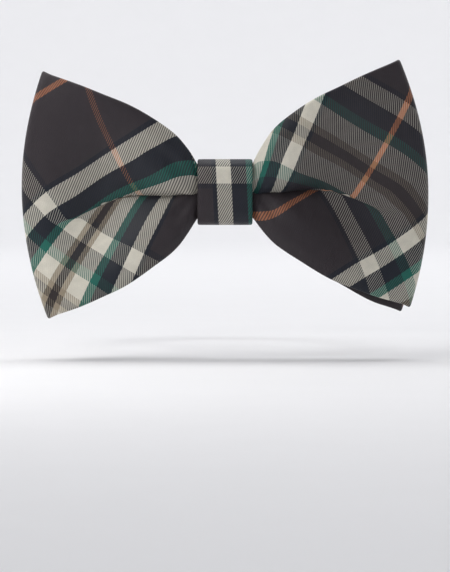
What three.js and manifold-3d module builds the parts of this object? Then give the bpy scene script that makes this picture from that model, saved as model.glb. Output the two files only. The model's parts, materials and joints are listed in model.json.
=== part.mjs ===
// Pre-tied plaid bow tie on an adjustable neck band.
//
// Millimetres, +Z up. The bow faces -Y and the wearer's neck is behind it, on +Y. The origin is the
// centre of the knot's flat rear face, which lies against the shirt. The neck band is a level circle.
// Angles on the band count from the knot: 0 is the knot, +90 the wearer's left (+X), 180 the nape.

import * as THREE from 'three';
import { mergeVertices } from 'three/addons/utils/BufferGeometryUtils.js';
import Module from 'manifold-3d';

const wasm = await Module();
wasm.setup();

// ---- driving dimensions ----

const GAP = 0.3;                 // room kept between two pieces that touch

// the front bow, a wide fabric strip folded into a loop
const BOW_CORNER_X = 52;         // knot centre to a wing's corner
const BOW_END_BULGE = 8;         // how far a wing's end curves out beyond its corners
const BOW_HALF_HEIGHT = 36;      // half of a wing's height at its corners
const BOW_LEAN = 2;              // degrees that the wings are turned, wearer's left side up
const WING_LOFT = 4.8;           // half of the space between a wing's front and back
const WING_FORWARD = 3;          // how far the wings stand in front of the waist

// the rear bow, a flatter strip behind it
const REAR_CORNER_X = 51;
const REAR_END_BULGE = 6.5;
const REAR_HALF_HEIGHT = 34.5;
const REAR_LOFT = 1.9;

// cloth and interlining
const BOW_CLOTH = 0.7;
const INTERLINING = 0.6;
const INTERLINING_MARGIN = 3;    // how far the interlining stops short of a folded end
const WAIST_TUCK = 0.6;          // how far the gathered waist stops short of the band's edges
const WAIST_LOFT = 1.75;         // half of the gathered waist's thickness, to the cloth's middle
const LAYER_GAP = 0.4;           // between the front bow and the rear bow at the waist

// the thread round the waist
const THREAD = 0.5;
const THREAD_BAND_WIDTH = 5;

// the knot
const KNOT_WIDTH = 16.4;
const KNOT_CLOTH = 1.1;
const KNOT_INTERLINING = 0.7;
const KNOT_INTERLINING_INSET = 0.8;
const KNOT_CORNER = 3;           // radius of the knot's front corners
const KNOT_REAR_CORNER = 1.2;
const TACK_SLOT = { x: 4.6, width: 1.6, height: 12, depth: 0.8 };

// the neck band
const BAND_INNER_RADIUS = 60;
const BAND_THICKNESS = 1.6;
const BAND_HEIGHT = 14.4;
const BAND_SAG_ROOM = 0.7;       // room behind the knot for the band's curve
const RETURN_THICKNESS = 0.9;    // the pressed end that doubles back from the hook to the slide
const SLEEVE_WALL = 0.9;         // cloth folded round a metal bar

// metal fittings
const BAR_RADIUS = 0.8;
const RAIL = 1.2;
const RAIL_CLEARANCE = 0.35;     // band edge to a fitting's rail
const CLOSURE_ANGLE = 46;        // middle of the hook and eye
const EYE_PITCH = 7.5;           // between the eye's two bars
const EYE_BAR_X = -10;           // the eye's sewn bar, from the closure's middle
const HOOK_BAR_X = 8;            // the hook's sewn bar, from the closure's middle
const HOOK_PLATE = 1;
const HOOK_LIFT = 0.4;           // hook plate over the eye's free bar
const TONGUE_WIDTH = 6;
const TONGUE_REACH = 2.5;        // how far the tongue goes past the eye's bars
const TONGUE_CLEARANCE = 1.3;    // tongue to the eye's free bar
const SLIDE_ANGLE = 88;
const SLIDE_LENGTH = 12;

// stitches
const TACK = { thickness: 0.4, width: 1.4, height: 9 };
const EYE_TACK_ANGLE = 4.5;      // the eye's stitches, from its bar
const SLIDE_TACK_ANGLE = 5;      // the slide's stitches, from its bar
const HOOK_PLATE_LENGTH = 4.4;
const HOOK_NECK_OVERLAP = 0.5;   // the tongue's strip runs this far into the plate
const BAR_END_INSET = 0.1;       // a bar stops short of its rails' outer faces

// ---- the knot's stack, from the shirt forwards ----

const stack = {};
stack.wrapRear = -KNOT_CLOTH;
stack.liningRear = stack.wrapRear - GAP;
stack.bandRear = stack.liningRear - KNOT_INTERLINING - GAP - BAND_SAG_ROOM;
stack.bandFront = stack.bandRear - BAND_THICKNESS;
stack.threadRear = stack.bandFront - GAP;
stack.rearBowRear = stack.threadRear - THREAD - GAP;
stack.bowDepth = 2 * WAIST_LOFT + BOW_CLOTH;
stack.frontBowRear = stack.rearBowRear - stack.bowDepth - LAYER_GAP;
stack.frontBowFront = stack.frontBowRear - stack.bowDepth;
stack.threadFront = stack.frontBowFront - GAP - THREAD;
stack.liningFront = stack.threadFront - GAP - KNOT_INTERLINING;
stack.knotFront = stack.liningFront - GAP - KNOT_CLOTH;

const bandHalfHeight = BAND_HEIGHT / 2;
const waistHalfHeight = bandHalfHeight - WAIST_TUCK;
const threadHalfHeight = waistHalfHeight + GAP + THREAD;
const liningHalfHeight = Math.max(threadHalfHeight, bandHalfHeight) + GAP + KNOT_INTERLINING;
const knotHalfHeight = liningHalfHeight + GAP + KNOT_CLOTH;

const bandOuterRadius = BAND_INNER_RADIUS + BAND_THICKNESS;
const loopCentreY = stack.bandFront + bandOuterRadius;
const sleeveBore = BAR_RADIUS + GAP;
const sleeveRadius = sleeveBore + SLEEVE_WALL;
const barRing = bandOuterRadius - sleeveRadius;      // radius of the hook's and the eye's sewn bars
const slideBarRing = BAND_INNER_RADIUS - GAP - sleeveRadius;
const railInner = bandHalfHeight + RAIL_CLEARANCE;
const railOuter = railInner + RAIL;

// ---- materials ----

const cloth = () => new THREE.MeshStandardMaterial({ color: 0x3a3234, roughness: 0.75, metalness: 0 });
const lining = () => new THREE.MeshStandardMaterial({ color: 0xe8e3d8, roughness: 0.95, metalness: 0 });
const thread = () => new THREE.MeshStandardMaterial({ color: 0x2a2628, roughness: 0.6, metalness: 0 });
const metal = () => new THREE.MeshStandardMaterial({ color: 0xb9bcc0, roughness: 0.28, metalness: 1 });

// ---- shared geometry helpers ----

function toSolid(geometry) {
  const bare = geometry.index ? geometry.toNonIndexed() : geometry.clone();
  bare.deleteAttribute('normal');
  bare.deleteAttribute('uv');
  const merged = mergeVertices(bare, 1e-5);
  return new wasm.Manifold(new wasm.Mesh({
    numProp: 3,
    vertProperties: new Float32Array(merged.attributes.position.array),
    triVerts: new Uint32Array(merged.index.array),
  }));
}

function toGeometry(solid) {
  const mesh = solid.getMesh();
  const geometry = new THREE.BufferGeometry();
  geometry.setAttribute('position', new THREE.BufferAttribute(new Float32Array(mesh.vertProperties), 3));
  geometry.setIndex(new THREE.BufferAttribute(new Uint32Array(mesh.triVerts), 1));
  return geometry;
}

function join(...geometries) {
  return toGeometry(geometries.map(toSolid).reduce((a, b) => a.add(b)));
}

function cut(geometry, ...tools) {
  return toGeometry(tools.map(toSolid).reduce((a, b) => a.subtract(b), toSolid(geometry)));
}

function block(x0, x1, y0, y1, z0, z1) {
  const geometry = new THREE.BoxGeometry(x1 - x0, y1 - y0, z1 - z0);
  return geometry.translate((x0 + x1) / 2, (y0 + y1) / 2, (z0 + z1) / 2);
}

function uprightBar(x, y, radius, halfHeight) {
  const geometry = new THREE.CylinderGeometry(radius, radius, 2 * halfHeight, 16);
  return geometry.rotateX(Math.PI / 2).translate(x, y, 0);
}

// A plan outline raised between -halfHeight and +halfHeight.
function raise(shape, halfHeight, curveSegments = 12) {
  const geometry = new THREE.ExtrudeGeometry(shape, {
    depth: 2 * halfHeight, bevelEnabled: false, curveSegments,
  });
  return geometry.translate(0, 0, -halfHeight);
}

// Point on the band's circle at an angle from the knot.
function onLoop(degrees, radius) {
  const a = THREE.MathUtils.degToRad(degrees);
  return new THREE.Vector2(radius * Math.sin(a), loopCentreY - radius * Math.cos(a));
}

function node(name, geometry, material) {
  const mesh = new THREE.Mesh(geometry, material);
  mesh.name = name;
  return mesh;
}

// ---- the bows ----

// Half-height of a wing against its distance from the knot, as shares of its length and height.
// The strip stays gathered through the knot, then fans out.
const WING_OUTLINE = new THREE.SplineCurve([
  new THREE.Vector2(0.2, 0.27),
  new THREE.Vector2(0.28, 0.46),
  new THREE.Vector2(0.4, 0.61),
  new THREE.Vector2(0.56, 0.74),
  new THREE.Vector2(0.78, 0.87),
  new THREE.Vector2(1, 1),
]);
const GATHERED_SHARE = 0.175;
const OUTLINE_OPEN_SHARE = 0.27;   // where the outline has left the gathers
const LOFT_OPEN_SHARE = 0.5;       // where the wing has its full loft
const BOW_STEPS = { around: 44, across: 8 };
const LINING_DRAW_IN = 1.7;        // the wings' interlining is drawn in more than the waist's
const LINING_EDGE_SHARE = 0.96;

function wingShare(along) {
  const first = WING_OUTLINE.points[0];
  if (along <= first.x) return first.y;
  let low = 0;
  let high = 1;
  for (let step = 0; step < 24; step += 1) {
    const middle = (low + high) / 2;
    if (WING_OUTLINE.getPoint(middle).x < along) low = middle;
    else high = middle;
  }
  return WING_OUTLINE.getPoint((low + high) / 2).y;
}

// 0 through the knot, 1 on the open wing.
function opened(along, reach) {
  return THREE.MathUtils.smoothstep(along, GATHERED_SHARE, reach);
}

// Middle surface of a bow: turn goes round the loop of cloth, side goes from its lower to its upper edge.
function bowSurface(bow, turn, side) {
  const t = Math.cos(turn);
  const along = Math.abs(t);
  const length = bow.cornerX + bow.endBulge * (1 - side * side);
  const x = t * length;
  const wing = opened(along, OUTLINE_OPEN_SHARE);
  const half = THREE.MathUtils.lerp(bow.waistHalfHeight, bow.halfHeight * wingShare(along), wing);
  const z = side * half + x * Math.tan(THREE.MathUtils.degToRad(bow.lean)) * wing;
  const body = opened(along, LOFT_OPEN_SHARE);
  const loft = THREE.MathUtils.lerp(bow.waistLoft, bow.loft, body);
  const middle = bow.waistY - bow.forward * body;
  const fold = Math.sign(Math.sin(turn)) * Math.sqrt(Math.abs(Math.sin(turn)));
  return new THREE.Vector3(x, middle - loft * fold, z);
}

function bowLoop(bow, thickness, edgeShare) {
  const { around, across } = BOW_STEPS;
  const step = 1e-3;
  const positions = [];
  const point = (turn, side, offset) => {
    const here = bowSurface(bow, turn, side);
    const dTurn = bowSurface(bow, turn + step, side).sub(bowSurface(bow, turn - step, side));
    const dSide = bowSurface(bow, turn, side + step).sub(bowSurface(bow, turn, side - step));
    return here.add(dTurn.cross(dSide).normalize().multiplyScalar(offset));
  };
  for (const offset of [thickness / 2, -thickness / 2]) {
    for (let i = 0; i < around; i += 1) {
      const turn = (2 * Math.PI * (i + 0.5)) / around;
      for (let j = 0; j <= across; j += 1) {
        const side = edgeShare * (-1 + (2 * j) / across);
        positions.push(...point(turn, side, offset).toArray());
      }
    }
  }
  const layer = around * (across + 1);
  const at = (skin, i, j) => skin * layer + (i % around) * (across + 1) + j;
  const faces = [];
  const quad = (a, b, c, d) => faces.push(a, b, c, a, c, d);
  for (let i = 0; i < around; i += 1) {
    for (let j = 0; j < across; j += 1) {
      quad(at(0, i, j), at(0, i + 1, j), at(0, i + 1, j + 1), at(0, i, j + 1));
      quad(at(1, i, j), at(1, i, j + 1), at(1, i + 1, j + 1), at(1, i + 1, j));
    }
    quad(at(0, i, 0), at(1, i, 0), at(1, i + 1, 0), at(0, i + 1, 0));
    quad(at(0, i, across), at(0, i + 1, across), at(1, i + 1, across), at(1, i, across));
  }
  const geometry = new THREE.BufferGeometry();
  geometry.setAttribute('position', new THREE.BufferAttribute(new Float32Array(positions), 3));
  geometry.setIndex(faces);
  return geometry;
}

const frontBow = {
  cornerX: BOW_CORNER_X,
  endBulge: BOW_END_BULGE,
  halfHeight: BOW_HALF_HEIGHT,
  waistHalfHeight,
  waistLoft: WAIST_LOFT,
  loft: WING_LOFT,
  lean: BOW_LEAN,
  forward: WING_FORWARD,
  waistY: stack.frontBowRear - stack.bowDepth / 2,
};

const rearBow = {
  ...frontBow,
  cornerX: REAR_CORNER_X,
  endBulge: REAR_END_BULGE,
  halfHeight: REAR_HALF_HEIGHT,
  loft: REAR_LOFT,
  lean: 0,
  forward: 0,
  waistY: stack.rearBowRear - stack.bowDepth / 2,
};

// The same bow drawn in by one layer of cloth, a gap and half of the interlining.
function insideOf(bow) {
  const step = (BOW_CLOTH + INTERLINING) / 2 + GAP;
  const wingStep = Math.min(step * LINING_DRAW_IN, bow.loft - INTERLINING);
  return {
    ...bow,
    cornerX: bow.cornerX - INTERLINING_MARGIN,
    waistLoft: bow.waistLoft - step,
    loft: bow.loft - wingStep,
  };
}

// ---- the knot ----

// Side view of a band wrapped round the waist: y is depth, x is height in the shape's own plane.
function wrapOutline(rear, front, halfHeight, frontRadius, rearRadius) {
  const shape = new THREE.Shape();
  shape.moveTo(halfHeight - rearRadius, rear);
  shape.lineTo(-halfHeight + rearRadius, rear);
  shape.quadraticCurveTo(-halfHeight, rear, -halfHeight, rear - rearRadius);
  shape.lineTo(-halfHeight, front + frontRadius);
  shape.quadraticCurveTo(-halfHeight, front, -halfHeight + frontRadius, front);
  shape.lineTo(halfHeight - frontRadius, front);
  shape.quadraticCurveTo(halfHeight, front, halfHeight, front + frontRadius);
  shape.lineTo(halfHeight, rear - rearRadius);
  shape.quadraticCurveTo(halfHeight, rear, halfHeight - rearRadius, rear);
  return shape;
}

function wrapBand(rear, front, halfHeight, thickness, frontRadius, rearRadius, width) {
  const outline = wrapOutline(rear, front, halfHeight, frontRadius, rearRadius);
  const innerFront = Math.max(frontRadius - thickness, 0.2);
  const innerRear = Math.max(rearRadius - thickness, 0.2);
  outline.holes.push(
    wrapOutline(rear - thickness, front + thickness, halfHeight - thickness, innerFront, innerRear),
  );
  const geometry = raise(outline, width / 2, 5);
  // turns the outline's height onto Z and its width onto X
  return geometry.rotateY(-Math.PI / 2);
}

function knotWrap() {
  const wrap = wrapBand(
    0, stack.knotFront, knotHalfHeight, KNOT_CLOTH, KNOT_CORNER, KNOT_REAR_CORNER, KNOT_WIDTH,
  );
  const slot = block(
    TACK_SLOT.x - TACK_SLOT.width / 2, TACK_SLOT.x + TACK_SLOT.width / 2,
    -TACK_SLOT.depth, 1, -TACK_SLOT.height / 2, TACK_SLOT.height / 2,
  );
  return cut(wrap, slot);
}

function knotTack() {
  const half = TACK_SLOT.width / 2 - GAP;
  const halfHeight = TACK_SLOT.height / 2 - GAP;
  const base = -TACK_SLOT.depth + GAP;
  return block(TACK_SLOT.x - half, TACK_SLOT.x + half, base, -0.1, -halfHeight, halfHeight);
}

function knotLining() {
  return wrapBand(
    stack.liningRear, stack.liningFront, liningHalfHeight, KNOT_INTERLINING,
    KNOT_CORNER - KNOT_CLOTH, KNOT_REAR_CORNER, KNOT_WIDTH - 2 * KNOT_INTERLINING_INSET,
  );
}

function waistThread() {
  return wrapBand(
    stack.threadRear, stack.threadFront, threadHalfHeight, THREAD, 1, 1, THREAD_BAND_WIDTH,
  );
}

// ---- the neck band ----

function arcStrip(innerRadius, outerRadius, fromDegrees, toDegrees) {
  const from = THREE.MathUtils.degToRad(fromDegrees) - Math.PI / 2;
  const to = THREE.MathUtils.degToRad(toDegrees) - Math.PI / 2;
  const shape = new THREE.Shape();
  shape.absarc(0, loopCentreY, outerRadius, from, to, false);
  shape.absarc(0, loopCentreY, innerRadius, to, from, true);
  const segments = Math.max(6, Math.ceil(Math.abs(toDegrees - fromDegrees) / 5));
  return raise(shape, bandHalfHeight, segments);
}

function sleeve(centre) {
  const shape = new THREE.Shape();
  shape.absarc(centre.x, centre.y, sleeveRadius, 0, 2 * Math.PI, false);
  const bore = new THREE.Path();
  bore.absarc(centre.x, centre.y, sleeveBore, 0, 2 * Math.PI, true);
  shape.holes.push(bore);
  return raise(shape, bandHalfHeight, 20);
}

function bore(centre) {
  return uprightBar(centre.x, centre.y, sleeveBore, bandHalfHeight + 1);
}

// Angle on the band of a bar set at a distance along the closure's straight line.
function closureAngle(x) {
  return CLOSURE_ANGLE + THREE.MathUtils.radToDeg(Math.atan2(x, barRing));
}

function closurePoint(x) {
  const a = THREE.MathUtils.degToRad(CLOSURE_ANGLE);
  const centre = new THREE.Vector2(0, loopCentreY);
  const outward = new THREE.Vector2(Math.sin(a), -Math.cos(a)).multiplyScalar(barRing);
  const along = new THREE.Vector2(Math.cos(a), Math.sin(a)).multiplyScalar(x);
  return centre.add(outward).add(along);
}

const eyeBar = closurePoint(EYE_BAR_X);
const hookBar = closurePoint(HOOK_BAR_X);
const slideBar = onLoop(SLIDE_ANGLE, slideBarRing);

// One strap: from the eye through the knot, round the nape and back to the hook.
function neckBand() {
  const run = arcStrip(
    BAND_INNER_RADIUS, bandOuterRadius, closureAngle(HOOK_BAR_X) - 360, closureAngle(EYE_BAR_X),
  );
  const joined = join(run, sleeve(eyeBar), sleeve(hookBar));
  return cut(joined, bore(eyeBar), bore(hookBar));
}

const returnOuterRadius = slideBarRing + RETURN_THICKNESS / 2;
const returnInnerRadius = slideBarRing - RETURN_THICKNESS / 2;
const returnStartRoom = THREE.MathUtils.radToDeg((sleeveRadius + GAP) / barRing);

// The strap's end, doubled back inside the band from the hook to the slide's middle bar.
function neckBandReturn() {
  const start = closureAngle(HOOK_BAR_X) + returnStartRoom;
  const run = arcStrip(returnInnerRadius, returnOuterRadius, start, SLIDE_ANGLE);
  return cut(join(run, sleeve(slideBar)), bore(slideBar));
}

function tackAt(degrees, innerRadius) {
  const group = fittingGroup(degrees);
  const geometry = block(
    -TACK.width / 2, TACK.width / 2, -innerRadius - TACK.thickness, -innerRadius,
    -TACK.height / 2, TACK.height / 2,
  );
  return { group, geometry };
}

// ---- metal fittings, drawn in a frame whose x runs along the band and whose -y is the outside ----

function fittingGroup(degrees) {
  const group = new THREE.Group();
  group.position.set(0, loopCentreY, 0);
  group.rotation.z = THREE.MathUtils.degToRad(degrees);
  return group;
}

function rails(x0, x1, inside, outside) {
  return [
    block(x0, x1, -outside, -inside, railInner, railOuter),
    block(x0, x1, -outside, -inside, -railOuter, -railInner),
  ];
}

function eyeRing() {
  const freeBarX = EYE_BAR_X + EYE_PITCH;
  return join(
    uprightBar(EYE_BAR_X, -barRing, BAR_RADIUS, railOuter - BAR_END_INSET),
    uprightBar(freeBarX, -barRing, BAR_RADIUS, railOuter - BAR_END_INSET),
    ...rails(EYE_BAR_X - BAR_RADIUS, freeBarX + BAR_RADIUS, barRing - BAR_RADIUS, barRing + BAR_RADIUS),
  );
}

function bandHook() {
  const plateInside = barRing + BAR_RADIUS + HOOK_LIFT;
  const plateOutside = plateInside + HOOK_PLATE;
  const plateX = HOOK_BAR_X - sleeveRadius - GAP;
  const tongueFace = EYE_BAR_X + EYE_PITCH - BAR_RADIUS - TONGUE_CLEARANCE;
  const tongueBack = tongueFace - HOOK_PLATE;
  const neckX = plateX - HOOK_PLATE_LENGTH;
  const halfTongue = TONGUE_WIDTH / 2;
  return join(
    uprightBar(HOOK_BAR_X, -barRing, BAR_RADIUS, railOuter - BAR_END_INSET),
    ...rails(plateX - RAIL, HOOK_BAR_X + BAR_RADIUS, barRing - BAR_RADIUS, plateOutside),
    block(neckX, plateX, -plateOutside, -plateInside, -railOuter, railOuter),
    block(
      tongueBack, neckX + HOOK_NECK_OVERLAP, -plateOutside, -plateInside, -halfTongue, halfTongue,
    ),
    block(
      tongueBack, tongueFace, -plateOutside, -(barRing - TONGUE_REACH), -halfTongue, halfTongue,
    ),
  );
}

function slideAdjuster() {
  const barInside = bandOuterRadius + GAP;
  const barOutside = barInside + RAIL;
  const half = SLIDE_LENGTH / 2;
  return join(
    uprightBar(0, -slideBarRing, BAR_RADIUS, railOuter - BAR_END_INSET),
    ...rails(-RAIL, RAIL, slideBarRing - BAR_RADIUS, barOutside),
    ...rails(-half, half, barInside - RAIL, barOutside),
    block(-half, -half + RAIL, -barOutside, -barInside, -railOuter, railOuter),
    block(half - RAIL, half, -barOutside, -barInside, -railOuter, railOuter),
  );
}

// ---- the assembly ----

const bowTie = new THREE.Group();
bowTie.add(
  node('front_bow', bowLoop(frontBow, BOW_CLOTH, 1), cloth()),
  node('front_bow_interlining', bowLoop(insideOf(frontBow), INTERLINING, LINING_EDGE_SHARE), lining()),
  node('rear_bow', bowLoop(rearBow, BOW_CLOTH, 1), cloth()),
  node('rear_bow_interlining', bowLoop(insideOf(rearBow), INTERLINING, LINING_EDGE_SHARE), lining()),
  node('waist_thread', waistThread(), thread()),
  node('knot_interlining', knotLining(), lining()),
  node('knot_wrap', knotWrap(), cloth()),
  node('knot_tack', knotTack(), thread()),
  node('neck_band', neckBand(), cloth()),
  node('neck_band_return', neckBandReturn(), cloth()),
);

const closure = fittingGroup(CLOSURE_ANGLE);
closure.add(
  node('eye_ring', eyeRing(), metal()),
  node('band_hook', bandHook(), metal()),
);

const slide = fittingGroup(SLIDE_ANGLE);
slide.add(node('slide_adjuster', slideAdjuster(), metal()));

const eyeTack = tackAt(closureAngle(EYE_BAR_X) - EYE_TACK_ANGLE, bandOuterRadius + GAP);
eyeTack.group.add(node('eye_bar_tack', eyeTack.geometry, thread()));

const slideTack = tackAt(SLIDE_ANGLE - SLIDE_TACK_ANGLE, returnInnerRadius - GAP - TACK.thickness);
slideTack.group.add(node('slide_bar_tack', slideTack.geometry, thread()));

bowTie.add(closure, slide, eyeTack.group, slideTack.group);

export default bowTie;
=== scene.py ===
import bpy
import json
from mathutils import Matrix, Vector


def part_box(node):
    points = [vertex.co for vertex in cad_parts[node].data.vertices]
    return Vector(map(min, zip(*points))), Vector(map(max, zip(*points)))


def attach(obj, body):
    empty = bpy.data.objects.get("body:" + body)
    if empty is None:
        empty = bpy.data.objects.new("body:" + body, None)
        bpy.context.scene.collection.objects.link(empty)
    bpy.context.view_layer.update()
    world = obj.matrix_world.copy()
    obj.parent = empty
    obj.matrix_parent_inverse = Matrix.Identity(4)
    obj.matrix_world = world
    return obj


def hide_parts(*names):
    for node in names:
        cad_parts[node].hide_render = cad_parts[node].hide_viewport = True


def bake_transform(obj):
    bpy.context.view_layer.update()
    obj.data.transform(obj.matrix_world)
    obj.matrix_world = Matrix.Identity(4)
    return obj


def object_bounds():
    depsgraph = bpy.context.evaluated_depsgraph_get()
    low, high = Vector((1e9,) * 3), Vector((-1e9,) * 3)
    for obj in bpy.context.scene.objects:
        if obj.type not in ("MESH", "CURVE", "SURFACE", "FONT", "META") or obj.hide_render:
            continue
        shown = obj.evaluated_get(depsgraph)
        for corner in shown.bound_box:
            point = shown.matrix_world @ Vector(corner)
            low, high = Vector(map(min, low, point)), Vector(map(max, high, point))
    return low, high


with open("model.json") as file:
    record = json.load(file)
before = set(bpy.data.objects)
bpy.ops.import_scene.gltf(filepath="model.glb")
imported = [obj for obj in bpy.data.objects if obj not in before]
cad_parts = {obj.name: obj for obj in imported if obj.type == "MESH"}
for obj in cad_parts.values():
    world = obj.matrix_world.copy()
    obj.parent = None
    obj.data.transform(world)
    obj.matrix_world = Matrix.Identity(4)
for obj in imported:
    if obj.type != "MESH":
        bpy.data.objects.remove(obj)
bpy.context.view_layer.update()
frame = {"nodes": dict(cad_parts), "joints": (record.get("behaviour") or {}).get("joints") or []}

import json
import math

import bmesh
import bpy
from mathutils import Vector

# Camera. It stands level with the knot, at arm's length in front of the wearer, and looks slightly
# down, so that the bow sits in the upper part of an upright frame.

MM = 0.001
scene = bpy.context.scene
VIEW_DISTANCE = 0.80
FRAME_WIDTH = 0.1327
FRAME_ASPECT = 1.2711                     # height over width
AIM_DROP = 0.0277
SENSOR_WIDTH = 36

camera_data = bpy.data.cameras.new("camera")
camera_data.sensor_width = SENSOR_WIDTH
camera_data.lens = SENSOR_WIDTH * VIEW_DISTANCE / (FRAME_WIDTH * FRAME_ASPECT)
camera_data.clip_start = 0.01
camera = bpy.data.objects.new("camera", camera_data)
scene.collection.objects.link(camera)
bow_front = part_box("front_bow")[0].y
camera.location = (0, bow_front - VIEW_DISTANCE, 0)
aim = Vector((0, bow_front, -AIM_DROP)) - camera.location
camera.rotation_euler = aim.to_track_quat("-Z", "Y").to_euler()
scene.camera = camera

# Stage. A round sweep of pale paper stands well clear of the bow and turns up into a wall on every
# side. A small soft box hangs close to the left wing, a weak one fills from the right, and two
# large ones overhead light the paper.

FLOOR_DROP = 0.012
SWEEP_FLOOR = 2.6
SWEEP_BEND = 0.8
SWEEP_TOP = 2.4
BEND_STEPS = 12
SWEEP_STEPS = 72
WARM_WHITE = (1.0, 0.985, 0.965)
COOL_WHITE = (0.97, 0.985, 1.0)


class Sock:
    """A shader socket that Python expressions can work with."""

    def __init__(self, tree, socket):
        self.tree = tree
        self.socket = socket

    def math(self, operation, *others):
        return node(self.tree, "ShaderNodeMath", {"operation": operation}, [self, *others])

    def __add__(self, other):
        return self.math("ADD", other)

    __radd__ = __add__

    def __mul__(self, other):
        return self.math("MULTIPLY", other)

    __rmul__ = __mul__

    def __sub__(self, other):
        return self.math("SUBTRACT", other)

    def __rsub__(self, other):
        return node(self.tree, "ShaderNodeMath", {"operation": "SUBTRACT"}, [other, self])

    def clamped(self):
        return node(self.tree, "ShaderNodeClamp", {}, [self])


def node(tree, kind, settings=None, values=(), output=0):
    """Adds a node: its settings first, then the values or links of its inputs, by place or by name."""
    made = tree.nodes.new(kind)
    for name, value in (settings or {}).items():
        if name == "stops":
            set_stops(made.color_ramp, value)
        else:
            setattr(made, name, value)
    pairs = values.items() if isinstance(values, dict) else enumerate(values)
    for key, value in pairs:
        if isinstance(value, Sock):
            tree.links.new(value.socket, made.inputs[key])
        elif value is not None:
            made.inputs[key].default_value = value
    return Sock(tree, made.outputs[output])


def set_stops(ramp, stops):
    ramp.interpolation = "CONSTANT"
    while len(ramp.elements) > 1:
        ramp.elements.remove(ramp.elements[-1])
    for index, (place, colour) in enumerate(stops):
        element = ramp.elements[0] if index == 0 else ramp.elements.new(place)
        element.position = place
        element.color = (*colour, 1)


def mix(tree, factor, a, b, blend="MIX"):
    settings = {"data_type": "RGBA", "blend_type": blend}
    return node(tree, "ShaderNodeMix", settings, {0: factor, 6: a, 7: b}, output=2)


def new_material(name):
    material = bpy.data.materials.new(name)
    material.use_nodes = True
    return material


def dress(material, colour, roughness, bump=None, **fixed):
    """Feeds a shader: what varies through links, and the fixed values straight to their sockets."""
    tree = material.node_tree
    shader = tree.nodes["Principled BSDF"]
    tree.links.new(colour.socket, shader.inputs["Base Color"])
    if isinstance(roughness, Sock):
        tree.links.new(roughness.socket, shader.inputs["Roughness"])
    else:
        shader.inputs["Roughness"].default_value = roughness
    if bump:
        strength, distance, height = bump
        values = {"Strength": strength, "Distance": distance, "Height": height}
        relief = node(tree, "ShaderNodeBump", {}, values)
        tree.links.new(relief.socket, shader.inputs["Normal"])
    for name, value in fixed.items():
        shader.inputs[name.replace("_", " ")].default_value = value
    return material


OBJECT_PLACE = 3                          # the Texture Coordinate node's Object output


def plain_paper():
    paper = new_material("backdrop_paper")
    tree = paper.node_tree
    place = node(tree, "ShaderNodeTexCoord", output=OBJECT_PLACE)
    fibre = node(tree, "ShaderNodeTexNoise", {}, {"Vector": place, "Scale": 40.0, "Detail": 4.0})
    tone = mix(tree, fibre, (0.80, 0.80, 0.815, 1), (0.82, 0.82, 0.835, 1))
    return dress(paper, tone, 0.9, Specular_IOR_Level=0.1)


def paper_sweep():
    floor_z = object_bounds()[0].z - FLOOR_DROP
    profile = [(0.0, floor_z), (SWEEP_FLOOR - SWEEP_BEND, floor_z)]
    for i in range(1, BEND_STEPS + 1):
        turn = math.pi / 2 * i / BEND_STEPS
        profile.append((SWEEP_FLOOR - SWEEP_BEND + SWEEP_BEND * math.sin(turn),
                        floor_z + SWEEP_BEND * (1 - math.cos(turn))))
    profile.append((SWEEP_FLOOR, SWEEP_TOP))
    bm = bmesh.new()
    verts = [bm.verts.new((radius, 0, z)) for radius, z in profile]
    edges = [bm.edges.new((verts[i], verts[i + 1])) for i in range(len(verts) - 1)]
    bmesh.ops.spin(bm, geom=verts + edges, cent=(0, 0, 0), axis=(0, 0, 1), angle=2 * math.pi,
                   steps=SWEEP_STEPS, use_merge=True)
    bmesh.ops.remove_doubles(bm, verts=bm.verts, dist=1e-5)
    bmesh.ops.recalc_face_normals(bm, faces=bm.faces)
    if sum(face.normal.z for face in bm.faces) < 0:
        bmesh.ops.reverse_faces(bm, faces=bm.faces)
    mesh = bpy.data.meshes.new("backdrop")
    bm.to_mesh(mesh)
    bm.free()
    for face in mesh.polygons:
        face.use_smooth = True
    mesh.materials.append(plain_paper())
    sweep = bpy.data.objects.new("backdrop", mesh)
    scene.collection.objects.link(sweep)


def soft_box(name, place, aim, width, height, power, tint=(1, 1, 1)):
    data = bpy.data.lights.new(name, "AREA")
    data.shape = "RECTANGLE"
    data.size = width
    data.size_y = height
    data.energy = power
    data.color = tint
    lamp = bpy.data.objects.new(name, data)
    scene.collection.objects.link(lamp)
    lamp.visible_camera = False
    lamp.location = place
    lamp.rotation_euler = (Vector(aim) - Vector(place)).to_track_quat("-Z", "Y").to_euler()


paper_sweep()
soft_box("left_soft_box", (-0.19, -0.10, 0.165), (-0.03, -0.02, 0), 0.12, 0.12, 0.29, WARM_WHITE)
soft_box("right_soft_box", (0.95, -0.9, 0.35), (0, 0, 0), 0.9, 0.9, 0.4, COOL_WHITE)
soft_box("back_soft_box", (0, 0.6, 2.2), (0, 1.9, 0), 2.4, 1.6, 50)
soft_box("front_soft_box", (0, -1.4, 2.3), (0, -1.8, 0), 2.4, 1.6, 6)
world = bpy.data.worlds.new("room")
world.use_nodes = True
room_light = world.node_tree.nodes["Background"]
room_light.inputs["Color"].default_value = (0.93, 0.95, 1.0, 1)
room_light.inputs["Strength"].default_value = 0.15
scene.world = world
scene.view_settings.view_transform = "Standard"

# Front bow. One wide strip of tartan, folded into a loop whose ends come together behind the knot,
# and gathered in the middle, so that each wing fans out in an upper and a lower lobe with a deep
# crease between them. The strip is a flat tube of twill over a woven interlining.

BROWN = (0.0285, 0.0222, 0.0262)
DARK_BROWN = (0.025, 0.019, 0.019)
NAVY = (0.0085, 0.012, 0.020)
GREEN = (0.009, 0.125, 0.095)
OLIVE = (0.30, 0.25, 0.18)
CREAM = (0.66, 0.63, 0.54)
ORANGE = (0.44, 0.165, 0.075)

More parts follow.
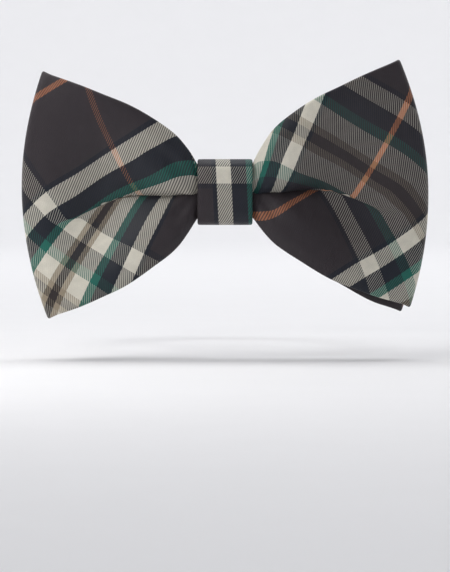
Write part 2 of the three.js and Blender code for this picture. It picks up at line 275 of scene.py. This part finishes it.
# the sett, in millimetres from the brown line at its middle to the orange line where it turns back
HALF_SETT = 45.9
SETT = [
    (0, DARK_BROWN), (1.1, OLIVE), (2.9, CREAM), (8.4, GREEN), (11.0, NAVY), (16.1, CREAM),
    (20.9, NAVY), (22.4, BROWN), (45.0, ORANGE),
]


class Lay:
    """How the cloth lies on a piece: its warp and weft stripes over flat millimetres, and its twill."""

    def __init__(self, warp, weft, twill, twill_pitch):
        self.warp = warp
        self.weft = weft
        self.twill = twill
        self.twill_pitch = twill_pitch


def stripes(shift, turn, stretch=1.0):
    """Distance across a set of stripes, from its shift, the way it faces in degrees, and its stretch."""
    facing = math.radians(turn)
    return shift, stretch * math.cos(facing), stretch * math.sin(facing)


YARN_COVER = 0.74                         # how much of the surface the upper yarn covers
WARP_IN_GAP_SHADE = 0.26                       # how much warp colour lightens the painted shade in the gaps between the ridges
RIDGE_HEIGHT = 0.06 * MM


def tartan(name, lay):
    """2/2 twill: the warp shows in ridges, the weft between them, and painted shade in the gaps, in the
    darker yarn's colour.
    """
    material = new_material(name)
    tree = material.node_tree
    flat = node(tree, "ShaderNodeUVMap", {"uv_map": "cloth"})
    u = node(tree, "ShaderNodeSeparateXYZ", {}, [flat], output=0)
    v = node(tree, "ShaderNodeSeparateXYZ", {}, [flat], output=1)

    def across(line):
        return u * line[1] + v * line[2] + line[0]

    warp = across(lay.warp)
    weft = across(lay.weft)

    def yarn(distance):
        share = distance.math("PINGPONG", HALF_SETT) * (1 / HALF_SETT)
        stops = [(place / HALF_SETT, colour) for place, colour in SETT]
        return node(tree, "ShaderNodeValToRGB", {"stops": stops}, [share])

    warp_colour = yarn(warp)
    weft_colour = yarn(weft)
    slant = math.radians(lay.twill)
    ridge = (u * math.sin(slant) - v * math.cos(slant)) * (1 / lay.twill_pitch)
    wave = ridge.math("PINGPONG", 0.5) * 2.0
    warp_up = ((wave - 0.36) * 2.4).clamped()
    weft_up = ((0.42 - wave) * 2.2).clamped()
    # painted shade: the gaps between the ridges take the darker yarn's colour, lightened a little by the
    # warp, in place of the shadow between the yarns
    painted_gap_shade = mix(tree, 1.0, warp_colour, weft_colour, "DARKEN")
    painted_gap_shade = mix(tree, WARP_IN_GAP_SHADE, painted_gap_shade, warp_colour)
    cloth = mix(tree, weft_up * YARN_COVER, painted_gap_shade, weft_colour)
    cloth = mix(tree, warp_up * YARN_COVER, cloth, warp_colour)

    # slubs: each yarn is a little lighter or darker along its run
    coarse = node(tree, "ShaderNodeVectorMath", {"operation": "SCALE"}, {0: flat, "Scale": 0.35})
    slub = node(tree, "ShaderNodeTexNoise", {}, {"Vector": coarse, "Scale": 1.0, "Detail": 4.0})
    fine = node(tree, "ShaderNodeVectorMath", {"operation": "SCALE"}, {0: flat, "Scale": 5.0})
    grain = node(tree, "ShaderNodeTexNoise", {}, {"Vector": fine, "Scale": 1.0, "Detail": 2.0})
    shade = (slub - 0.5) * 0.35 + (grain - 0.5) * 0.4 + 1.0
    grey = node(tree, "ShaderNodeCombineColor", {}, [shade, shade, shade])
    cloth = mix(tree, 1.0, cloth, grey, "MULTIPLY")
    roughness = 0.56 + (grain - 0.5) * 0.2 - warp_up * 0.06
    height = (wave + grain * 0.5) * RIDGE_HEIGHT
    return dress(material, cloth, roughness, (0.55, 1.0, height), Specular_IOR_Level=0.32,
                 Sheen_Weight=0.08, Sheen_Roughness=0.45, Sheen_Tint=(0.95, 0.9, 0.88, 1))


def smooth(start, end, value):
    share = min(1.0, max(0.0, (value - start) / (end - start)))
    return share * share * (3 - 2 * share)


def blend(a, b, share):
    return a + (b - a) * share


def curve(points, at):
    """A smooth curve through a few points."""
    if at <= points[0][0]:
        return points[0][1]
    if at >= points[-1][0]:
        return points[-1][1]
    i = max(k for k in range(len(points) - 1) if points[k][0] <= at)
    before = points[max(i - 1, 0)]
    start, end = points[i], points[i + 1]
    after = points[min(i + 2, len(points) - 1)]
    width = end[0] - start[0]
    rise_in = (end[1] - before[1]) / (end[0] - before[0]) * width
    rise_out = (after[1] - start[1]) / (after[0] - start[0]) * width
    t = (at - start[0]) / width
    return ((2 * t ** 3 - 3 * t ** 2 + 1) * start[1] + (t ** 3 - 2 * t ** 2 + t) * rise_in
            + (-2 * t ** 3 + 3 * t ** 2) * end[1] + (t ** 3 - t ** 2) * rise_out)


def run_length(points):
    return sum(math.dist(points[i], points[i + 1]) for i in range(len(points) - 1))


def along(points, distance):
    """The point at a distance along a polyline."""
    for i in range(len(points) - 1):
        step = math.dist(points[i], points[i + 1])
        if distance <= step or i == len(points) - 2:
            share = min(1.0, distance / step) if step else 0
            return [blend(points[i][k], points[i + 1][k], share) for k in (0, 1)]
        distance -= step


class Bow:
    """A loop of cloth, in millimetres. Panels are the front and the back of the loop."""

    KNOT_EDGE = 8.3
    CORNER_RISE = 0.5                     # the outline goes on rising round the fold, to a sharp corner
    CREASE_DRIFT = 9                      # how far the crease runs off the strip's middle by the wing's end
    DEEPEST = 9.5                         # the most that the crease may sink
    GATHER_PITCH = 8.5
    GATHER_DEPTH = 0.4
    # half-height of the gathered strip against the distance from the knot's middle
    OUTLINE = [(0, 6.2), (6.5, 6.5), (8.2, 8.0), (9.2, 10.0), (10.6, 12.4), (14.6, 17.5), (21.4, 22.7),
               (28, 26.5), (35, 29.5), (42, 32.5), (52, 36.3)]

    def __init__(self, reach, half_width, tall, lean, ridges, folds, fold_radius, bulge):
        self.reach = reach                # knot's edge to the fold, along the cloth
        self.half_width = half_width
        self.tall = tall                  # share of the outline's height, at the knot and at the end
        self.lean = lean                  # slope of the left and the right wing
        self.ridges = ridges              # depth of the lobes' crests, front and back panel
        self.folds = folds                # how much of the crease each panel follows
        self.fold_radius = fold_radius
        self.bulge = bulge
        self.front_run = reach - fold_radius
        self.length = 2 * (2 * self.front_run + math.pi * fold_radius + 2 * self.KNOT_EDGE)
        self.sections = {}

    def section(self, s):
        """One wing seen end on: where its crease lies, and the way from the crease to each edge."""
        key = round(s, 3)
        if key in self.sections:
            return self.sections[key]
        outline_x = self.KNOT_EDGE + s * (1 - self.bulge) if s >= 0 else self.KNOT_EDGE + s
        half = curve(self.OUTLINE, outline_x) * blend(*self.tall, smooth(26, 46, outline_x))
        crease_w = -self.CREASE_DRIFT * smooth(18, 42, s)
        crease_z = crease_w * half / self.half_width - 0.4 * (1 - smooth(16, 42, s))
        open_out = smooth(8, 31, s)
        # the lower lobe stands a little less tall than the upper one, mostly beside the knot
        droop = 1.2 * smooth(7, 10, outline_x) * (1 - smooth(20, 34, outline_x)) + 0.4 * smooth(40, 52, s)
        spans = {1: half - crease_z, -1: half + crease_z - droop}
        low = 0.0
        high = blend(1.0, self.DEEPEST, smooth(-2, 15, s)) * (1 - 0.55 * smooth(28, 48, s))
        # the crease sinks until the two lobes take up the strip's whole width
        for _ in range(14):
            depth = (low + high) / 2
            taken_up = sum(run_length(self.lobe(spans[up], depth, open_out)) for up in (1, -1))
            if taken_up < 2 * self.half_width:
                low = depth
            else:
                high = depth
        lobes = {}
        for up in (1, -1):
            profile = self.lobe(spans[up], depth, open_out)
            lobes[up] = self.half_width - up * crease_w, profile, run_length(profile)
        self.sections[key] = crease_w, crease_z, lobes
        return self.sections[key]

    @staticmethod
    def lobe(span, depth, open_out, turn=2.0, steps=40):
        """Pinched at the crease near the knot, opening to a soft hollow towards the wing's end."""
        points = []
        for i in range(steps + 1):
            t = i / steps
            pinched = (1 - math.cos(turn * t)) / (1 - math.cos(turn)), 1 - math.sin(turn * t)
            hollow = t, (1 + math.cos(math.pi * t)) / 2
            points.append((span * blend(pinched[0], hollow[0], open_out),
                           depth * blend(pinched[1], hollow[1], open_out)))
        return points

    def wing(self, s, w, side, panel):
        """Place of the cloth at a distance s from the knot's edge and w across the strip."""
        crease_w, crease_z, lobes = self.section(s)
        up = 1 if w >= crease_w else -1
        share, profile, length = lobes[up]
        from_edge = share - up * (w - crease_w)
        # cloth that the wing has no room for is lost in the crease
        lost = smooth(0, 0.12, 1 - length / share)
        distance = blend((share - from_edge) * length / share, max(0.0, length - from_edge), lost)
        rise, depth = along(profile, distance)
        # near the knot the upper lobe rolls over the crease, and small gathers run out from it
        pinch = 1 - smooth(14, 36, s)
        roll = pinch * smooth(-2, 6, s) * math.sin(math.pi * min(1.0, distance / length / 0.6))
        gather = self.GATHER_DEPTH * math.cos(2 * math.pi * from_edge / self.GATHER_PITCH)
        gather *= smooth(-1, 3, s) * (1 - smooth(6, 24, s))
        rise -= 0.9 * roll * (up > 0)
        depth += gather + (0.8 * roll if up < 0 else -0.5 * roll)
        out = w / self.half_width
        x = self.KNOT_EDGE + (s * (1 - self.bulge * out * out) if s > 0 else s)
        z = crease_z + up * rise
        turned = self.lean[side > 0] * smooth(5, 18, x)
        x, z = x - turned * z, z + turned * x
        y = curve(self.ridges[panel], s) + depth * self.folds[panel]
        return x, y, z

    def place(self, run, w):
        side = 1 if run > 0 else -1
        m = abs(run)
        front_end = self.KNOT_EDGE + self.front_run
        fold = math.pi * self.fold_radius
        if m <= front_end:
            x, y, z = self.wing(m - self.KNOT_EDGE, w, side, 0)
        elif m < front_end + fold:
            turn = (m - front_end) / self.fold_radius
            x0, y0, z0 = self.wing(self.front_run, w, side, 0)
            x1, y1, z1 = self.wing(self.front_run, w, side, 1)
            share = (1 - math.cos(turn)) / 2
            x = blend(x0, x1, share) + self.fold_radius * math.sin(turn)
            flare = (w / self.half_width) ** 3
            y = blend(y0, y1, share)
            z = blend(z0, z1, share) + self.fold_radius * self.CORNER_RISE * math.sin(turn) * flare
        else:
            s = self.front_run - (m - front_end - fold)
            x, y, z = self.wing(s, w, side, 1)
        return Vector((side * x, y, z)) * MM


def as_cut(u, v):
    return u, v


def strip(name, length, width, step, place, grain=as_cut):
    """A flat strip laid out in its own millimetres, kept as the UV map "cloth", then put in place."""
    bm = bmesh.new()
    bmesh.ops.create_grid(bm, x_segments=round(length / step), y_segments=round(width / step), size=1)
    cloth = bm.loops.layers.uv.new("cloth")
    for face in bm.faces:
        for loop in face.loops:
            loop[cloth].uv = grain(loop.vert.co.x * length / 2, loop.vert.co.y * width / 2)
    for vert in bm.verts:
        vert.co = place(vert.co.x * length / 2, vert.co.y * width / 2)
    bmesh.ops.recalc_face_normals(bm, faces=bm.faces)
    return finished(name, bm)


def finished(name, bm):
    mesh = bpy.data.meshes.new(name)
    bm.to_mesh(mesh)
    bm.free()
    for face in mesh.polygons:
        face.use_smooth = True
    piece = bpy.data.objects.new(name, mesh)
    scene.collection.objects.link(piece)
    return piece


def thicken(piece, thickness, levels=1):
    solid = piece.modifiers.new("cloth thickness", "SOLIDIFY")
    solid.thickness = thickness * MM
    solid.offset = 0
    if levels:
        rounded = piece.modifiers.new("rounded edges", "SUBSURF")
        rounded.levels = levels
        rounded.render_levels = levels


def soft_piece(piece, material, node_name, flat, bend=None):
    piece.data.materials.append(material)
    if bend:
        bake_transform(piece)
    else:
        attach(piece, "bow_and_band")
    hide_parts(node_name)
    flat[0] * MM
    flat[1] * MM


BOW_STEP = 1.25
BOW_THICKNESS = 1.1
BIAS_WARP_TURN = -43
BIAS_WEFT_TURN = 41
BIAS_WEFT_STRETCH = 0.93
wing_lay = Lay(warp=stripes(20.0, BIAS_WARP_TURN), weft=stripes(-34.7, BIAS_WEFT_TURN, BIAS_WEFT_STRETCH),
               twill=75, twill_pitch=0.62)

front_bow_form = Bow(
    reach=51.9, half_width=36, tall=(1.0, 1.0), lean=(-0.021, 0.046),
    ridges=[
        [(-8.3, -13.7), (-2, -14.3), (4, -17.4), (10, -19.6), (20, -20.8), (32, -20.3), (44, -18.4),
         (49.5, -16.8)],
        [(-8.3, -11.5), (-2, -11.9), (4, -14.2), (10, -16.4), (20, -17.8), (32, -16.4), (44, -13.6),
         (49.5, -12.6)],
    ],
    folds=(1.0, 0.92), fold_radius=2.2, bulge=0.145)

# how far each wing's check was pulled along and across, in millimetres: everywhere, more towards the
# wing's end, more towards its top, more towards both edges, and more towards the end's top
PULLED = {
    -1: {"along": (0, 0.5, 0, 0.5, 2), "across": (1.5, -0.5, -1, -0.5, 1)},
    1: {"along": (-2.5, 1.5, -1, 3, -0.5), "across": (-1.5, 1, -1, 1, 1)},
}
PULL_RUN = 40                             # distance from the knot's edge at which the pull is as given

# the lower lobe's cloth slipped up into the crease beside the knot
KNOT_SLIP = {-1: 0.0, 1: 7.0}


def front_grain(u, v):
    side = 1 if u > 0 else -1
    s = max(0.0, min(44.0, abs(u) - front_bow_form.KNOT_EDGE))
    out = s / PULL_RUN
    w = v / front_bow_form.half_width
    terms = 1, out, w, abs(w), out * w
    start = smooth(2, 12, abs(u))
    slipped = KNOT_SLIP[side] * (1 - smooth(2, 26, s)) * smooth(2, 8, -v)
    along_cloth = start * sum(pull * term for pull, term in zip(PULLED[side]["along"], terms))
    across_cloth = start * sum(pull * term for pull, term in zip(PULLED[side]["across"], terms))
    return u + side * along_cloth, v + across_cloth + slipped


front_bow = strip("front_bow_cloth", front_bow_form.length, 2 * front_bow_form.half_width, BOW_STEP,
                  front_bow_form.place, front_grain)
thicken(front_bow, BOW_THICKNESS)
soft_piece(front_bow, tartan("tartan_twill_bias", wing_lay), "front_bow",
           (front_bow_form.length, 2 * front_bow_form.half_width))

# Rear bow. A second, flatter loop of the same strip behind the first. It is cut a little smaller
# and lies straighter, so only its lower corner shows beside the front bow.

rear_bow_form = Bow(
    reach=50.3, half_width=34.5, tall=(0.91, 0.985), lean=(-0.019, 0.0),
    ridges=[
        [(-8.3, -9.3), (-2, -9.5), (4, -11.3), (10, -13.3), (20, -14.8), (32, -13.2), (44, -10.6),
         (48.4, -10.0)],
        [(-8.3, -7.0), (-2, -7.1), (4, -8.5), (10, -10.4), (20, -11.9), (32, -10.4), (44, -8.0),
         (48.4, -7.2)],
    ],
    folds=(0.94, 0.9), fold_radius=1.5, bulge=0.125)
rear_lay = Lay(warp=stripes(3.5, BIAS_WARP_TURN), weft=stripes(24.0, BIAS_WEFT_TURN, BIAS_WEFT_STRETCH),
               twill=75, twill_pitch=0.62)
rear_bow = strip("rear_bow_cloth", rear_bow_form.length, 2 * rear_bow_form.half_width, BOW_STEP,
                 rear_bow_form.place)
thicken(rear_bow, BOW_THICKNESS)
soft_piece(rear_bow, tartan("tartan_twill_rear", rear_lay), "rear_bow",
           (rear_bow_form.length, 2 * rear_bow_form.half_width))

# Knot.

knot_low, knot_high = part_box("knot_wrap")
KNOT_CLOTH_THICKNESS = 1.1
knot_half_width = (knot_high.x - knot_low.x) / 2 / MM
knot_half_height = (knot_high.z - knot_low.z) / 2 / MM - KNOT_CLOTH_THICKNESS / 2
knot_front = knot_low.y / MM + KNOT_CLOTH_THICKNESS / 2
KNOT_REAR = -KNOT_CLOTH_THICKNESS / 2
KNOT_LAP_END = 2.0
KNOT_CORNER = 3.4
KNOT_REAR_CORNER = 1.6
KNOT_TUCK = 1.25                          # how far inside the lap the wrap's first end lies
KNOT_CROWN = 0.55


def knot_path():
    """The wrap's way round, as (y, z): up the rear underneath, over the top, down the front, and back."""
    corner = KNOT_CORNER
    rear_corner = KNOT_REAR_CORNER
    inner = KNOT_REAR - KNOT_TUCK
    points = [(inner, -2.0), (inner, 1.0), (inner + 0.3, 3.5), (KNOT_REAR, 6.0)]

    def arc(cy, cz, radius, start, end):
        for i in range(1, 9):
            a = math.radians(blend(start, end, i / 8))
            points.append((cy + radius * math.cos(a), cz + radius * math.sin(a)))

    top = knot_half_height
    points.append((KNOT_REAR, top - rear_corner))
    arc(KNOT_REAR - rear_corner, top - rear_corner, rear_corner, 0, 90)
    points.append((knot_front + corner, top))
    arc(knot_front + corner, top - corner, corner, 90, 180)
    points.append((knot_front, -top + corner))
    arc(knot_front + corner, -top + corner, corner, 180, 270)
    points.append((KNOT_REAR - rear_corner, -top))
    arc(KNOT_REAR - rear_corner, -top + rear_corner, rear_corner, 270, 360)
    points.append((KNOT_REAR, KNOT_LAP_END))
    return points


knot_points = knot_path()
knot_length = run_length(knot_points)
# how far round the wrap the middle of the knot's front lies
front_middle = next(run_length(knot_points[:i + 1]) for i in range(len(knot_points))
                    if knot_points[i][1] < 0 and knot_points[i][0] < knot_front / 2)
front_middle -= knot_half_height - KNOT_CORNER


def place_knot(across, run):
    y, z = along(knot_points, knot_length / 2 - run)
    crown = KNOT_CROWN * (1 - (across / knot_half_width) ** 2) * max(0.0, -(y + 12) / 5)
    return Vector((across, y - crown, z)) * MM


knot_shift = knot_length / 2 - front_middle
knot_lay = Lay(warp=stripes(18.4 + 0.056 * knot_shift, 182.9, 1.12),
               weft=stripes(23.5 + knot_shift, -90), twill=60, twill_pitch=0.6)
knot_wrap = strip("knot_wrap_cloth", 2 * knot_half_width, knot_length, 1.0, place_knot)
thicken(knot_wrap, KNOT_CLOTH_THICKNESS)
soft_piece(knot_wrap, tartan("tartan_twill_square", knot_lay), "knot_wrap",
           (2 * knot_half_width, knot_length))

# Bow interlinings. A pressed strip of unbleached woven stiffener lies inside each bow's flat tube,
# trimmed 2.5 mm short of its folded edges, and takes every fold with it.

LINING_MARGIN = 2.5
LINING_THICKNESS = 0.3


def woven_lining():
    stiffener = new_material("interlining")
    tree = stiffener.node_tree
    flat = node(tree, "ShaderNodeUVMap", {"uv_map": "cloth"})
    weave = node(tree, "ShaderNodeTexWave", {"wave_type": "BANDS"}, {"Vector": flat, "Scale": 0.8})
    fibre = node(tree, "ShaderNodeTexNoise", {}, {"Vector": flat, "Scale": 2.0, "Detail": 3.0})
    colour = mix(tree, fibre, (0.70, 0.66, 0.57, 1), (0.84, 0.81, 0.74, 1))
    return dress(stiffener, colour, 0.8 + (fibre - 0.5) * 0.2, (0.4, 0.1 * MM, weave))


lining_material = woven_lining()


def bow_lining(name, form, node_name):
    """Laid out on the same rows as the cloth, so that it follows the cloth's folds exactly."""
    cell_long = form.length / round(form.length / BOW_STEP)
    cell_wide = 2 * form.half_width / round(2 * form.half_width / BOW_STEP)
    length = form.length - 2 * cell_long * round(LINING_MARGIN / cell_long)
    width = 2 * form.half_width - 2 * cell_wide * round(LINING_MARGIN / cell_wide)
    lining = strip(name, length, width, BOW_STEP, form.place)
    thicken(lining, LINING_THICKNESS)
    soft_piece(lining, lining_material, node_name, (length, width))


bow_lining("front_bow_interlining_sheet", front_bow_form, "front_bow_interlining")
bow_lining("rear_bow_interlining_sheet", rear_bow_form, "rear_bow_interlining")

# Waist thread. Nine tight turns of spun polyester sewing thread, wound on under the knot, gather
# both bows at the middle.

THREAD_RADIUS = 0.25
THREAD_TURNS = 9
THREAD_PITCH = 0.55
WAIST_FRONT = -14.75
WAIST_REAR = -5.3
WAIST_TOP = 7.1
WAIST_CORNER = 1.2


def spun_thread():
    thread = new_material("sewing_thread")
    tree = thread.node_tree
    place = node(tree, "ShaderNodeTexCoord", output=OBJECT_PLACE)
    twist = node(tree, "ShaderNodeTexNoise", {}, {"Vector": place, "Scale": 2600.0, "Detail": 2.0})
    colour = mix(tree, twist, (0.020, 0.016, 0.018, 1), (0.060, 0.050, 0.052, 1))
    return dress(thread, colour, 0.45 + twist * 0.3, (0.5, 0.1 * MM, twist))


thread_material = spun_thread()


def add_thread(bm, points, radius, across, sides=8):
    """A round thread through points in millimetres; across is a direction it never runs along."""
    rings = []
    for i, point in enumerate(points):
        ahead = Vector(points[min(i + 1, len(points) - 1)]) - Vector(points[max(i - 1, 0)])
        side = ahead.cross(Vector(across)).normalized()
        rise = side.cross(ahead).normalized()
        ring = []
        for k in range(sides):
            a = 2 * math.pi * k / sides
            outward = radius * (math.cos(a) * side + math.sin(a) * rise)
            ring.append(bm.verts.new((Vector(point) + outward) * MM))
        if rings:
            for k in range(sides):
                n = (k + 1) % sides
                bm.faces.new((rings[-1][k], rings[-1][n], ring[n], ring[k]))
        rings.append(ring)
    bm.faces.new(rings[0])
    bm.faces.new(rings[-1][::-1])


def thread_piece(name, bm, node_name, body):
    bmesh.ops.recalc_face_normals(bm, faces=bm.faces)
    piece = finished(name, bm)
    piece.data.materials.append(thread_material)
    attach(piece, body)
    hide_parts(node_name)


def rounded_loop(front, rear, top, corner, steps=5):
    """Points (y, z) round a rectangle with rounded corners, once round."""
    points = []
    for cy, cz, start in ((rear - corner, top - corner, 0), (front + corner, top - corner, 90),
                          (front + corner, corner - top, 180), (rear - corner, corner - top, 270)):
        for i in range(steps + 1):
            a = math.radians(start + 90 * i / steps)
            points.append((cy + corner * math.cos(a), cz + corner * math.sin(a)))
    return points


waist_loop = rounded_loop(WAIST_FRONT, WAIST_REAR, WAIST_TOP, WAIST_CORNER)
thread_points = []
for turn in range(THREAD_TURNS):
    for i, (y, z) in enumerate(waist_loop):
        x = (turn + i / len(waist_loop) - THREAD_TURNS / 2) * THREAD_PITCH
        thread_points.append((x, y, z))
thread_mesh = bmesh.new()
add_thread(thread_mesh, thread_points, THREAD_RADIUS, (1, 0, 0))
thread_piece("waist_thread_turns", thread_mesh, "waist_thread", "bow_and_band")

# Knot interlining. A stiffer strip bent once round the thread, the two bows and the neck band, so
# that the knot keeps its square shape.

KNOT_LINING_INSET = 0.8
KNOT_LINING_CORNER = 2.2
KNOT_LINING_THICKNESS = 0.5
LINING_CLEARANCE = 0.35
REAR_CLEARANCE = 0.75
LINING_SEAM = 3                           # the loop's point at which the strip's ends meet
lining_low, lining_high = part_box("knot_interlining")
lining_loop = rounded_loop(lining_low.y / MM + LINING_CLEARANCE, lining_high.y / MM - REAR_CLEARANCE,
                           lining_high.z / MM - LINING_CLEARANCE, KNOT_LINING_CORNER)
lining_loop = lining_loop[LINING_SEAM:] + lining_loop[:LINING_SEAM]
lining_run = run_length(lining_loop)
lining_width = 2 * (knot_half_width - KNOT_LINING_INSET)


def place_knot_lining(across, run):
    y, z = along(lining_loop, lining_run / 2 - run)
    return Vector((across, y, z)) * MM


knot_lining = strip("knot_interlining_sheet", lining_width, lining_run, 1.0, place_knot_lining)
thicken(knot_lining, KNOT_LINING_THICKNESS, levels=0)
soft_piece(knot_lining, lining_material, "knot_interlining", (lining_width, lining_run))

# Knot tack. Small whip stitches in the same dark thread, sewn by hand, close the knot wrap's lap at
# the rear.

TACK_STITCHES = 9
STITCH_PITCH = 1.3
STITCH_RADIUS = 0.16

tack_mesh = bmesh.new()
for i in range(TACK_STITCHES):
    x = STITCH_PITCH * (i - (TACK_STITCHES - 1) / 2)
    stitch = [(x - 0.35, -1.75, 3.3), (x - 0.3, -1.1, 3.1), (x - 0.15, -0.55, 2.5), (x, 0.02, 2.0),
              (x + 0.2, 0.12, 1.4), (x + 0.35, -0.05, 0.8), (x + 0.4, -0.5, 0.6)]
    add_thread(tack_mesh, stitch, STITCH_RADIUS, (1, 0, 0))
thread_piece("knot_tack_stitches", tack_mesh, "knot_tack", "bow_and_band")

# Neck band. One strap of the same twill, cut along the check and pressed flat. It runs from the eye
# through the knot and round the nape to the hook, and is folded round each fitting's bar.

band_low, band_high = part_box("neck_band")
BAND_OUTER = (band_high.x - band_low.x) / 2 / MM
BAND_CENTRE = band_low.y / MM + BAND_OUTER
BAND_CLOTH = 1.1
LAP_GAP = 0.1
BAND_HEIGHT = (band_high.z - band_low.z) / MM
BAR_CLEARANCE = 1.65
STITCHED_LAP = 6.2
NAPE_STEPS = 120
BAR_STEPS = 12
BAND_STEP = 1.8
band_radius = BAND_OUTER - BAND_CLOTH / 2
joint_places = {joint["name"]: joint["pos_m"] for joint in frame["joints"]}


def ring_angle(place):
    return math.degrees(math.atan2(place[0], BAND_CENTRE * MM - place[1]))


def on_ring(angle, radius):
    a = math.radians(angle)
    return radius * math.sin(a), BAND_CENTRE - radius * math.cos(a)


def round_bar(angle, radius, start, end):
    """The strap's way round a bar, from one side to the other; 0 is outward, 90 along the band."""
    points = []
    for i in range(BAR_STEPS + 1):
        turn = math.radians(blend(start, end, i / BAR_STEPS))
        out = radius + BAR_CLEARANCE * math.cos(turn)
        ahead = BAR_CLEARANCE * math.sin(turn)
        points.append(on_ring(angle + math.degrees(ahead / radius), out))
    return points


eye_bar = joint_places["eye_swing"]
hook_bar = joint_places["hook_swing"]
eye_angle = ring_angle(eye_bar)
hook_angle = ring_angle(hook_bar)
bar_radius = math.hypot(eye_bar[0], eye_bar[1] - BAND_CENTRE * MM) / MM
lap_turn = math.degrees(STITCHED_LAP / band_radius)
return_start = hook_angle + 2.2


def band_path():
    inner = band_radius - BAND_CLOTH - LAP_GAP
    path = [on_ring(eye_angle - lap_turn, inner), on_ring(eye_angle - lap_turn * 0.6, inner)]
    path.append(on_ring(eye_angle - 1.2, bar_radius - BAR_CLEARANCE + 0.3))
    path += round_bar(eye_angle, bar_radius, 180, 0)
    sweep = 360 - (hook_angle - eye_angle)
    for i in range(1, NAPE_STEPS):
        path.append(on_ring(eye_angle - sweep * i / NAPE_STEPS, band_radius))
    path += round_bar(hook_angle, bar_radius, 0, -180)
    path.append(on_ring(return_start, bar_radius - BAR_CLEARANCE))
    return path


def strap(name, path, node_name, bend=None):
    length = run_length(path)

    def place(run, across):
        x, y = along(path, length / 2 + run)
        return Vector((x, y, across)) * MM

    piece = strip(name, length, BAND_HEIGHT - BAND_CLOTH, BAND_STEP, place)
    thicken(piece, BAND_CLOTH)
    soft_piece(piece, band_cloth, node_name, (length, BAND_HEIGHT - BAND_CLOTH),
               bend)


band_cloth = tartan("tartan_twill_band",
                    Lay(warp=stripes(12.0, 0), weft=stripes(24.0, 90), twill=60, twill_pitch=0.75))
strap("neck_band_strap", band_path(), "neck_band")

# Neck band return. The strap's end goes on inside the band from the hook to the slide, is folded
# round the slide's middle bar and stitched back on itself.

slide_angle = 88.0
slide_bar_radius = bar_radius - 1.9
RETURN_STEPS = 15


def return_path():
    path = [on_ring(return_start + 0.05, bar_radius - BAR_CLEARANCE)]
    for i in range(1, RETURN_STEPS + 1):
        angle = blend(return_start, slide_angle - 2.6, i / RETURN_STEPS)
        path.append(on_ring(angle, slide_bar_radius))
    path += round_bar(slide_angle, slide_bar_radius, 0, 180)
    lap_radius = slide_bar_radius - BAND_CLOTH - LAP_GAP
    path += [on_ring(slide_angle - 1.8, lap_radius - 0.2), on_ring(slide_angle - 3.2, lap_radius),
             on_ring(slide_angle - lap_turn, lap_radius)]
    return path


bend_start = on_ring(return_start + 1.0, slide_bar_radius)
bend_end = on_ring(slide_angle - lap_turn - 1.0, slide_bar_radius)
strap("neck_band_return_strap", return_path(), "neck_band_return",
      (Vector((*bend_start, 0)) * MM, Vector((*bend_end, 0)) * MM))

# Eye, hook and slide. Steel wire and plate, stamped and plated with nickel, with softly rounded
# edges. The strap is folded round a bar of each one, on which the eye and the hook turn.

NICKEL_EDGE = 0.16


def nickel():
    plate = new_material("nickel_plate")
    tree = plate.node_tree
    place = node(tree, "ShaderNodeTexCoord", output=OBJECT_PLACE)
    rub = node(tree, "ShaderNodeTexNoise", {}, {"Vector": place, "Scale": 420.0, "Detail": 5.0})
    colour = mix(tree, rub, (0.60, 0.585, 0.55, 1), (0.74, 0.73, 0.70, 1))
    return dress(plate, colour, 0.18 + rub * 0.22, (0.15, 0.05 * MM, rub), Metallic=1.0)


nickel_material = nickel()


def fitting(name, node_name, body):
    bm = bmesh.new()
    bm.from_mesh(frame["nodes"][node_name].data)
    bmesh.ops.remove_doubles(bm, verts=bm.verts, dist=1e-6)
    bmesh.ops.dissolve_limit(bm, angle_limit=math.radians(0.5), verts=bm.verts, edges=bm.edges)
    bmesh.ops.recalc_face_normals(bm, faces=bm.faces)
    piece = finished(name, bm)
    edge = piece.modifiers.new("rubbed edges", "BEVEL")
    edge.width = NICKEL_EDGE * MM
    edge.segments = 2
    edge.angle_limit = math.radians(40)
    edge.harden_normals = True
    piece.data.materials.append(nickel_material)
    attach(piece, body)
    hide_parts(node_name)


fitting("eye_fitting", "eye_ring", "eye")
fitting("hook_fitting", "band_hook", "hook")
fitting("slide_fitting", "slide_adjuster", "slide")

# Bar tacks. Dense zigzag stitches in dark thread close the strap round the eye's bar and the
# slide's bar.

TACK_HEIGHT = 9.0
TACK_WIDTH = 1.4
TACK_ZIGZAGS = 30
TACK_THREAD_RADIUS = 0.17


def bar_tack(name, angle, radius, node_name, body):
    bm = bmesh.new()
    points = []
    for i in range(TACK_ZIGZAGS + 1):
        swing = math.degrees(TACK_WIDTH / 2 / radius) * (1 if i % 2 else -1)
        x, y = on_ring(angle + swing, radius)
        points.append((x, y, TACK_HEIGHT * (i / TACK_ZIGZAGS - 0.5)))
    out = on_ring(angle, 1.0)
    add_thread(bm, points, TACK_THREAD_RADIUS, (out[0], out[1] - BAND_CENTRE, 0))
    thread_piece(name, bm, node_name, body)


bar_tack("eye_bar_tack_stitches", eye_angle - 4.5, BAND_OUTER + 0.1, "eye_bar_tack", "bow_and_band")
bar_tack("slide_bar_tack_stitches", slide_angle - 4.6, slide_bar_radius - 1.5 * BAND_CLOTH - 0.2,
         "slide_bar_tack", "slide")
